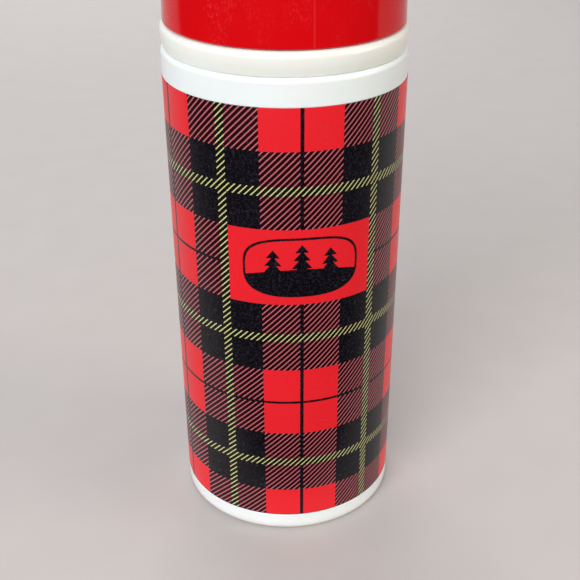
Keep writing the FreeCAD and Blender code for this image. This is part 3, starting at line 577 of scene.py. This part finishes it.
def collar_threads(turn, radius, height):
    """Rib for the cup outside the seat wall, and rib for the stopper inside the mouth."""
    cup_rib = helix(turn, height, bead_top + rib_lead_in, cup_rib_pitch, cup_rib_turns, cup_rib_root,
                    cup_rib_crest)
    on_seat = (np.abs(radius - seat_radius) < 0.05) & (height < deck_underside - 0.1)
    mouth_rib = helix(turn, height, stopper_seat + rib_lead_in, mouth_rib_pitch, mouth_rib_turns,
                      mouth_rib_root, mouth_rib_crest)
    in_mouth = np.abs(radius - mouth) < 0.05
    return radius + cup_rib_depth * cup_rib * on_seat - mouth_rib_depth * mouth_rib * in_mouth


pouring = turned("pouring_mouth", rounded([
    (screw_radius - collar_wall, collar_bottom, fine_round),
    (screw_radius, collar_bottom, fine_round),
    (screw_radius, band_top, inner_round),
    (bead_radius - bead_undercut, band_top, bead_undercut),
    (bead_radius, band_top + bead_undercut_height, bead_curve),
    (bead_radius, bead_top, bead_round),
    (seat_radius, bead_top, fine_round, thread_rows),
    (seat_radius, deck, deck_round),
    (spout_radius + spout_flare, deck, spout_flare),
    (spout_waist, spout_foot, 4.0),
    (spout_radius, spout_top, 1.0),
    (mouth, spout_top, 1.4, thread_rows),
    (mouth, gasket_top, inner_round),
    (socket, gasket_top, inner_round),
    (socket, gasket_foot, 0.4),
    (socket + collar_wall, gasket_foot, 0.4),
    (socket + collar_wall, deck_underside, 1.0),
    (seat_radius - collar_wall, deck_underside, 1.0),
    (seat_radius - collar_wall, band_top + 4.2, 0),
    (screw_radius - collar_wall, band_top, 0),
]), cream_plastic, collar_threads)
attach(pouring, "flask")
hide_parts("pouring_collar")

# ---- Drinking cup ----------------------------------------------------------------------------
# Thin-walled cup of signal-red polypropylene, injection moulded and glossy. It stands upside down
# on the bead over the stopper, with a thread inside its rim and a standing ring round its end.
# The red is deep and even under a wet-looking gloss, which rubbing has dulled in pale patches.
cup_plastic = principled("polypropylene, signal red, moulded", Specular_IOR_Level=0.3)
cup_spot = add(cup_plastic, "ShaderNodeTexCoord", output="Object")
stretched = add(cup_plastic, "ShaderNodeMapping", {
    "Vector": cup_spot, "Location": (0.03, 0, 0), "Scale": (1, 1, 0.5)})
rubbed = add(cup_plastic, "ShaderNodeTexNoise", {"Vector": stretched, "Scale": cells(20.8), "Detail": 6.0})
scratches = add(cup_plastic, "ShaderNodeTexNoise", {
    "Vector": stretched, "Scale": cells(2.08), "Detail": 9.0, "Distortion": 4.0})
rub_mask = add(cup_plastic, "ShaderNodeMapRange", {
    "Value": rubbed, "From Min": 0.48, "From Max": 0.68, "To Max": 0.6})
scratch_mask = add(cup_plastic, "ShaderNodeMapRange", {
    "Value": scratches, "From Min": 0.53, "From Max": 0.66})
scuffs = add(cup_plastic, "ShaderNodeMath", {0: rub_mask, 1: scratch_mask}, operation="MULTIPLY")

# A faint pale line up the wall, near the front, is a painted reflection of a window in the glossy plastic.
reflection_line_turn = 0.515             # share of the way round from the back
reflection_line_width = 0.0015
cup_uv = add(cup_plastic, "ShaderNodeTexCoord", output="UV")
cup_round = add(cup_plastic, "ShaderNodeSeparateXYZ", {0: cup_uv}, output="X")
reflection_line = add(cup_plastic, "ShaderNodeMath", {0: cup_round, 1: reflection_line_turn}, operation="SUBTRACT")
reflection_line = add(cup_plastic, "ShaderNodeMath", {0: reflection_line}, operation="ABSOLUTE")
reflection_line = add(cup_plastic, "ShaderNodeMapRange", {
    "Value": reflection_line, "From Min": reflection_line_width, "From Max": reflection_line_width / 3, "To Max": 0.16})
# The pale mix takes the real scuffs together with the painted reflection line.
scuffs_and_reflection = add(cup_plastic, "ShaderNodeMath", {0: scuffs, 1: reflection_line}, operation="MAXIMUM")
add(cup_plastic, "ShaderNodeMix", {0: scuffs_and_reflection, 6: linear("CB0810"), 7: linear("E2525A")}, output=2,
    feeds="Base Color", data_type="RGBA")
add(cup_plastic, "ShaderNodeMapRange", {"Value": scuffs, "To Min": 0.13, "To Max": 0.5}, feeds="Roughness")
add(cup_plastic, "ShaderNodeBump", {"Height": rubbed, "Strength": 0.04, "Distance": 0.001}, feeds="Normal")
cup_taper = 1.8
cup_corner = 7.0
ring_width = 11.0             # from the cup's side to the recess in its end
recess = 1.2
recess_round = 0.8
cup_bore = cup_radius - cup_wall
cup_crown = cup_radius - cup_taper
crown_bore = cup_crown - cup_wall
cup_floor = cup_top - recess
cup_ceiling = cup_floor - cup_wall
rib_room = 12.0               # height of the wall inside the rim that carries the rib
bore_lean = (crown_bore - cup_bore) / (cup_ceiling - cup_rim)


def cup_thread(turn, radius, height):
    """Rib inside the rim, with its crest at one radius although the wall tapers."""
    start = cup_rim + rib_lead_in + cup_rib_pitch / 2
    rib = helix(turn, height, start, cup_rib_pitch, cup_rib_turns, cup_rib_root, cup_rib_crest)
    inside = radius < cup_radius - cup_wall * 2 / 3
    return radius + (cup_bore - cup_rib_depth - radius) * rib * inside


cup = turned("red_cup", rounded([
    (cup_bore, cup_rim, 0.5),
    (cup_radius, cup_rim, 0.7),
    (cup_crown, cup_top, cup_corner),
    (cup_crown - ring_width + recess, cup_top, recess_round),
    (cup_crown - ring_width, cup_floor, recess_round),
    (0, cup_floor, 0),
    (0, cup_ceiling, 0),
    (crown_bore, cup_ceiling, cup_corner - cup_wall),
    (cup_bore + rib_room * bore_lean, cup_rim + rib_room, 0, thread_rows),
], longest=3.0, arc_steps=12), cup_plastic, cup_thread)
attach(cup, "cup")
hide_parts("drinking_cup")

# ---- Base ------------------------------------------------------------------------------------
# Milk-white polyethylene base: a foot ring with a rounded outer edge, a floor set up inside it,
# and a spigot that screws into the ring in the jacket. Near the foot it is drawn darker, in cloudy
# patches.
_, spigot_top, base_radius = measure("base_cup")
ring_wall = 2.1               # of the threaded ring in the jacket
spigot = tin_bore - push_fit - ring_wall - service_rib - service_play
spigot_wall = 2.0
base_top = tin_bottom - push_fit
foot_round = 3.2
foot_width = 5.0
foot_inner = base_radius - foot_round - foot_width
floor_under = 2.0             # the floor is set up this far over the foot
floor_over = 4.2
base_plastic = moulded_white("polyethylene, milk white, rubbed", "E8EBEB", "DBDFDD")
clean = base_plastic.node_tree.nodes["Principled BSDF"].inputs["Base Color"].links[0].from_socket
base_spot = add(base_plastic, "ShaderNodeTexCoord", output="Object")
base_up = add(base_plastic, "ShaderNodeSeparateXYZ", {0: base_spot}, output="Z")
# Darker towards the bottom: the mix rises from 5 mm over the foot down to 0.5 mm, in cloudy patches.
near_foot = add(base_plastic, "ShaderNodeMapRange", {
    "Value": base_up, "From Min": 0.005, "From Max": 0.0005, "To Max": 0.8})
low_patches = add(base_plastic, "ShaderNodeTexNoise", {"Vector": base_spot, "Scale": cells(8.3), "Detail": 6.0})
darker_low = add(base_plastic, "ShaderNodeMath", {0: low_patches, 1: near_foot}, operation="MULTIPLY")
add(base_plastic, "ShaderNodeMix", {0: darker_low, 6: clean, 7: linear("B4AA98")}, output=2,
    feeds="Base Color", data_type="RGBA")
base = turned("moulded_base", rounded([
    (0, floor_under, 0),
    (foot_inner, floor_under, 0.4),
    (foot_inner, 0, 0.6),
    (base_radius, 0, foot_round),
    (base_radius, base_top, 0.4),
    (spigot, base_top, inner_round),
    (spigot, spigot_top, 0.5),
    (spigot - spigot_wall, spigot_top, 0.5),
    (spigot - spigot_wall, floor_over, 2.0),
    (0, floor_over, 0),
]), base_plastic)
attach(base, "flask")
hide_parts("base_cup")

# ---- Stopper ---------------------------------------------------------------------------------
# Hollow screw stopper of cream polyethylene in two mouldings that are welded together: a plug with
# a coarse thread under a flange, and a knob with 24 ribs for the fingers.
stopper_plastic = moulded_white("polyethylene, ivory, moulded", "EDE8D6", "E2DBC4")
plug_bottom, knob_foot, flange_radius = measure("stopper_shell")
stopper_step = plug_bottom + 17.5
stopper_wall = mouth - mouth_rib_depth - 0.5
moulded_wall = 1.8
plug_top = stopper_wall - 2.5
plug_end = plug_top - 1.2
plug_round = 3.0
hollow = stopper_wall - moulded_wall
flange_under = knob_foot - 2.4
mesh_shift = mouth_rib_pitch / 2


def stopper_thread(turn, radius, height):
    """Rib on the stopper's wall, half a pitch over the mouth's rib, so the two lie in mesh."""
    start = stopper_step + rib_lead_in + mesh_shift
    rib = helix(turn, height, start, mouth_rib_pitch, mouth_rib_turns, mouth_rib_root, mouth_rib_crest)
    return radius + mouth_rib_depth * rib * (np.abs(radius - stopper_wall) < 0.05)


stopper = turned("threaded_stopper", rounded([
    (0, plug_bottom, 0),
    (plug_end, plug_bottom, plug_round),
    (plug_top, stopper_step, inner_round),
    (stopper_wall, stopper_step, fine_round, thread_rows),
    (stopper_wall, flange_under, fine_round),
    (flange_radius, flange_under, 0.8),
    (flange_radius, knob_foot, 1.0),
    (hollow, knob_foot, inner_round),
    (hollow, stopper_step + moulded_wall, inner_round),
    (plug_top - moulded_wall, stopper_step + moulded_wall, inner_round),
    (plug_end - moulded_wall, plug_bottom + moulded_wall, 1.6),
    (0, plug_bottom + moulded_wall, 0),
]), stopper_plastic, stopper_thread)
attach(stopper, "stopper")
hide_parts("stopper_shell")

knob_bottom, knob_top, _ = measure("stopper_grip")
knob_radius = stopper_wall - 0.9
knob_edge = knob_radius - 0.6
knob_round = 1.6
dish_rim = 4.4
dish = 1.2
rib_radius = 0.9
rib_sunk = 0.4                # a rib's middle line is this far inside the knob's side
rib_drop = 2.2                # from the knob's top to where the ribs' round ends begin
rib_count = 24
rib_rows = 0.4                # mesh rows up the ribbed side
columns_a_rib = 22


def knob_ribs(turn, radius, height):
    """Round ribs up the knob's side with half-round tops, each a sphere swept up the side.

    Its surface stands out from its middle line by the root of the rib's squared radius less the
    squared distances along the side and past the rib's top.
    """
    spacing = math.tau / rib_count
    beside = (np.abs(np.mod(turn, spacing) - spacing / 2)) * knob_radius
    past_top = np.maximum(height - (knob_top - rib_drop), 0)
    stands = np.sqrt(np.maximum(rib_radius ** 2 - beside ** 2 - past_top ** 2, 0))
    on_side = (height > knob_foot + 0.02) & (radius > knob_edge - knob_round - 0.1)
    ribbed = (stands > 0) & on_side
    return np.where(ribbed, np.maximum(radius, knob_radius - rib_sunk + stands), radius)


knob = turned("ribbed_knob", rounded([
    (0, knob_bottom, 0),
    (hollow - push_fit, knob_bottom, 0.5),
    (hollow - push_fit, knob_foot, 0),
    (knob_radius, knob_foot, inner_round, rib_rows),
    (knob_edge, knob_top, knob_round),
    (knob_edge - dish_rim, knob_top, 0.5),
    (knob_edge - dish_rim - dish, knob_top - dish, 0.5),
    (0, knob_top - dish, 0),
], longest=2.0), stopper_plastic, knob_ribs, steps=rib_count * columns_a_rib)
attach(knob, "stopper")
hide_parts("stopper_grip")

# ---- Rubber rings ----------------------------------------------------------------------------
# Moulded natural rubber, grey-brown and matt: the seat between the glass lip and the pouring
# collar, and the flat ring that the stopper presses on it. Old rubber is mottled and a bit dusty.
def rubber(name, dark, dusty):
    """Vulcanised rubber: two tones mixed by a cloudy noise, with a fine grain in the surface."""
    made = principled(name, Specular_IOR_Level=0.35)
    spot = add(made, "ShaderNodeTexCoord", output="Object")
    cloud = add(made, "ShaderNodeTexNoise", {"Vector": spot, "Scale": cells(5.6), "Detail": 6.0})
    add(made, "ShaderNodeMix", {0: cloud, 6: linear(dark), 7: linear(dusty)}, output=2,
        feeds="Base Color", data_type="RGBA")
    add(made, "ShaderNodeMapRange", {"Value": cloud, "To Min": 0.55, "To Max": 0.9}, feeds="Roughness")
    add(made, "ShaderNodeBump", {"Height": cloud, "Strength": 0.2, "Distance": 0.0004}, feeds="Normal")
    return made


def dress(paint, *nodes):
    """Gives CAD nodes a material through their object's slots, which leaves their meshes alone."""
    for node in nodes:
        for material_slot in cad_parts[node].material_slots:
            material_slot.link = "OBJECT"
            material_slot.material = paint


dress(rubber("natural rubber, grey-brown, matt", "6B6258", "8A8074"), "neck_gasket", "stopper_gasket")
dress(rubber("black rubber, moulded, matt", "141313", "2C2A28"), "base_cushion", "seal_tip_cap")

# ---- Glass filler ----------------------------------------------------------------------------
# Two blown flasks of soda glass melted together at the lip, with a mirror of silver on the walls
# that face the vacuum. Seen through the glass it is a bright mirror with a faint grey-gold tint.
mirror = principled("silvered glass, blown", Metallic=0.9, Coat_Weight=1.0, Coat_Roughness=0.03)
mirror_spot = add(mirror, "ShaderNodeTexCoord", output="Object")
blown = add(mirror, "ShaderNodeMapping", {"Vector": mirror_spot, "Scale": (1, 1, 0.25)})
ripples = add(mirror, "ShaderNodeTexNoise", {"Vector": blown, "Scale": cells(22.2), "Detail": 2.0})
add(mirror, "ShaderNodeMix", {0: ripples, 6: linear("D8D6CC"), 7: linear("C3C6C4")}, output=2,
    feeds="Base Color", data_type="RGBA")
add(mirror, "ShaderNodeMapRange", {"Value": ripples, "To Min": 0.04, "To Max": 0.16}, feeds="Roughness")
add(mirror, "ShaderNodeBump", {"Height": ripples, "Strength": 0.15, "Distance": 0.002}, feeds="Normal")
dress(mirror, "filler_inner_flask", "filler_outer_flask")

# ---- Packing round the filler ----------------------------------------------------------------
# A sleeve of corrugated brown paper, soft foam at the shoulder and in the stopper, felt pads in
# the vacuum gap, and the natural polyethylene ring that the base screws into.
def fibrous(name, dark, light, size, stretch=(1, 1, 1)):
    """Matt stuff of fibres or cells: two tones mixed by a noise with cells of this size in mm."""
    made = principled(name, Roughness=0.85, Specular_IOR_Level=0.3)
    spot = add(made, "ShaderNodeTexCoord", output="Object")
    drawn = add(made, "ShaderNodeMapping", {"Vector": spot, "Scale": stretch})
    fuzz = add(made, "ShaderNodeTexNoise", {"Vector": drawn, "Scale": cells(size), "Detail": 5.0})
    add(made, "ShaderNodeMix", {0: fuzz, 6: linear(dark), 7: linear(light)}, output=2,
        feeds="Base Color", data_type="RGBA")
    add(made, "ShaderNodeBump", {"Height": fuzz, "Strength": 0.3, "Distance": 0.0003}, feeds="Normal")
    return made


dress(fibrous("foam, open cell, cream", "CFC8B2", "E6E0CE", 0.625), "shoulder_cushion", "stopper_foam")
dress(fibrous("wool felt, grey", "6F6C66", "908C84", 0.83), "filler_spacers")
dress(fibrous("polyethylene, natural, moulded", "D8D8CE", "E6E6DE", 3.33), "jacket_bottom_ring")

# The paper's fibres run up the flutes, so its two browns are drawn out that way.
kraft = fibrous("kraft paper, corrugated", "8C6A45", "A98359", 1.11, stretch=(1, 1, 0.15))
sleeve_bottom, sleeve_top, sleeve_radius = measure("paper_liner")
paper = 0.6
flutes = 40
flute_depth = 1.2
columns_a_flute = 16
sleeve_outside = sleeve_radius - flute_depth


def corrugated(turn, radius, height):
    """A cosine wave round the sleeve, one for each flute, carried straight up."""
    return radius + flute_depth * np.cos(flutes * turn)


sleeve = turned("corrugated_sleeve", rounded([
    (sleeve_outside, sleeve_bottom, 0),
    (sleeve_outside, sleeve_top, 0),
    (sleeve_outside - paper, sleeve_top, 0),
    (sleeve_outside - paper, sleeve_bottom, 0),
]), kraft, corrugated, steps=flutes * columns_a_flute)
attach(sleeve, "flask")
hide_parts("paper_liner")
